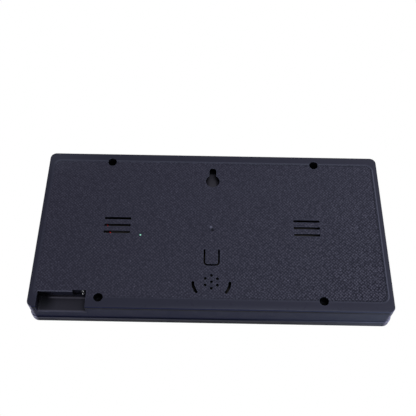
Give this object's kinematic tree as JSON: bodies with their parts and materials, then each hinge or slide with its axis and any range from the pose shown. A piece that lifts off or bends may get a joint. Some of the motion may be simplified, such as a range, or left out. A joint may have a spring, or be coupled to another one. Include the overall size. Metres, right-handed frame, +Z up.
{
  "type": "digital wall clock",
  "caption": "Shallow rectangular digital wall clock with a dark seven-segment display in front and a textured, vented rear cover with a keyhole for hanging.",
  "frame": {"origin": "middle of the keyhole's round top, on the plane of the wall, where the wall screw sits", "axes": "+Z up, the display faces -Y, +X to the right as seen by someone reading the clock; the back of the case lies in the plane y = 0"},
  "size_m": [0.362, 0.035, 0.1854],
  "materials": {
    "case_plastic": "dark blue-grey moulded plastic, fine spark-eroded grain",
    "lens": "smoked gloss acrylic",
    "mask": "matte black",
    "diffuser": "milky translucent sheet",
    "reflector": "satin white",
    "phenolic_board": "brown laminate",
    "dark_steel": "blackened screw steel",
    "screw_steel": "zinc plated",
    "sheet_steel": "bright sheet metal",
    "black_plastic": "satin black",
    "button_plastic": "satin dark grey",
    "ivory_plastic": "ivory",
    "cone_paper": "black pressed paper",
    "ferrite": "dull grey ceramic magnet",
    "red_insulation": "red wire insulation",
    "black_insulation": "black wire insulation",
    "ribbon": "grey flat cable",
    "capacitor_sleeve": "dark blue sleeve",
    "glass_bead": "pale green glass"
  },
  "bodies": {
    "case": {"rear_cover": "case_plastic", "case_band": "case_plastic", "front_frame": "case_plastic", "lens_panel": "lens", "segment_mask": "mask", "diffuser_sheet": "diffuser", "reflector_block": "reflector", "led_board": "phenolic_board", "case_screw_1": "dark_steel", "case_screw_2": "dark_steel", "case_screw_3": "dark_steel", "case_screw_4": "dark_steel", "board_screw_1": "screw_steel", "board_screw_2": "screw_steel", "board_screw_3": "screw_steel", "board_screw_4": "screw_steel", "board_screw_5": "screw_steel", "board_screw_6": "screw_steel", "reset_switch": "black_plastic", "button_switch_1": "black_plastic", "button_switch_2": "black_plastic", "button_switch_3": "black_plastic", "button_switch_4": "black_plastic", "button_board": "phenolic_board", "button_cable": "ribbon", "button_connector": "ivory_plastic", "speaker_basket": "sheet_steel", "speaker_cone": "cone_paper", "speaker_magnet": "ferrite", "speaker_wire_red": "red_insulation", "speaker_wire_black": "black_insulation", "speaker_connector": "ivory_plastic", "power_board": "phenolic_board", "socket_shell": "sheet_steel", "socket_tongue": "black_plastic", "supply_wire_red": "red_insulation", "supply_wire_black": "black_insulation", "supply_connector": "ivory_plastic", "smoothing_capacitor": "capacitor_sleeve", "controller_chip": "black_plastic", "driver_chip_1": "black_plastic", "driver_chip_2": "black_plastic", "crystal": "sheet_steel", "cell_holder": "black_plastic", "backup_cell": "sheet_steel", "cell_clip": "sheet_steel", "thermistor": "glass_bead"},
    "press_tab": {"press_tab": "case_plastic"},
    "reset_plunger": {"reset_plunger": "black_plastic"},
    "set_button_1": {"set_button_1": "button_plastic", "button_plunger_1": "ivory_plastic"},
    "set_button_2": {"set_button_2": "button_plastic", "button_plunger_2": "ivory_plastic"},
    "set_button_3": {"set_button_3": "button_plastic", "button_plunger_3": "ivory_plastic"},
    "set_button_4": {"set_button_4": "button_plastic", "button_plunger_4": "ivory_plastic"}
  },
  "joints": [
    {"name": "tab_hinge", "type": "hinge", "parent": "case", "child": "press_tab", "pos_m": [0, -0.0015, -0.0962], "axis": [-1, 0, 0], "range_deg": [0, 2.5], "stiffness_Nm_per_rad": 0.2},
    {"name": "reset_press", "type": "slide", "parent": "case", "child": "reset_plunger", "axis": [0, -1, 0], "range_m": [0, 0.0006]},
    {"name": "button_press_1", "type": "slide", "parent": "case", "child": "set_button_1", "axis": [0, 0, -1], "range_m": [0, 0.0005], "stiffness_N_per_m": 600, "springref_m": -0.0005},
    {"name": "button_press_2", "type": "slide", "parent": "case", "child": "set_button_2", "axis": [0, 0, -1], "range_m": [0, 0.0005], "stiffness_N_per_m": 600, "springref_m": -0.0005},
    {"name": "button_press_3", "type": "slide", "parent": "case", "child": "set_button_3", "axis": [0, 0, -1], "range_m": [0, 0.0005], "stiffness_N_per_m": 600, "springref_m": -0.0005},
    {"name": "button_press_4", "type": "slide", "parent": "case", "child": "set_button_4", "axis": [0, 0, -1], "range_m": [0, 0.0005], "stiffness_N_per_m": 600, "springref_m": -0.0005}
  ],
  "couplings": [
    {"joint": "reset_press", "follows": "tab_hinge", "m_per_rad": 0.012}
  ]
}
